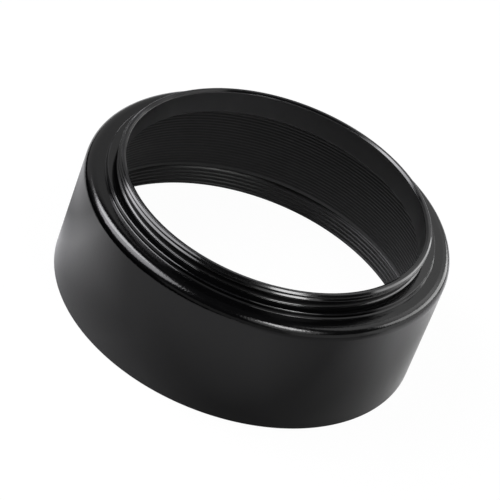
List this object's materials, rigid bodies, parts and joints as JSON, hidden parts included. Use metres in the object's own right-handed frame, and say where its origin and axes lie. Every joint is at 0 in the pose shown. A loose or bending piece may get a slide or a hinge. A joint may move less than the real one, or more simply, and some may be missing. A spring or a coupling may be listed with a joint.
{
  "type": "lens hood",
  "caption": "Round screw-in metal lens hood: grooved cylindrical barrel with a rounded shoulder, a stepped threaded mount ring at the rear and an internal thread at the front.",
  "frame": {"origin": "centre of the front rim face, which the hood stands on", "axes": "+Z along the optical axis from the front rim towards the lens; X and Y are any two square directions, because both pieces are turned about Z"},
  "size_m": [0.061, 0.061, 0.0236],
  "materials": {
    "black_anodised_barrel": "satin black anodised over a fine bead-blasted surface, matt grooved bore",
    "black_anodised_ring": "satin black anodised over fine turning marks"
  },
  "bodies": {
    "barrel": {"hood_barrel": "black_anodised_barrel"},
    "ring": {"mount_ring": "black_anodised_ring"}
  },
  "joints": [
    {"name": "mount_ring_unscrew", "type": "hinge", "parent": "barrel", "child": "ring", "pos_m": [0, 0, 0.01937], "axis": [0, 0, 1], "range_deg": [0, 750]}
  ]
}
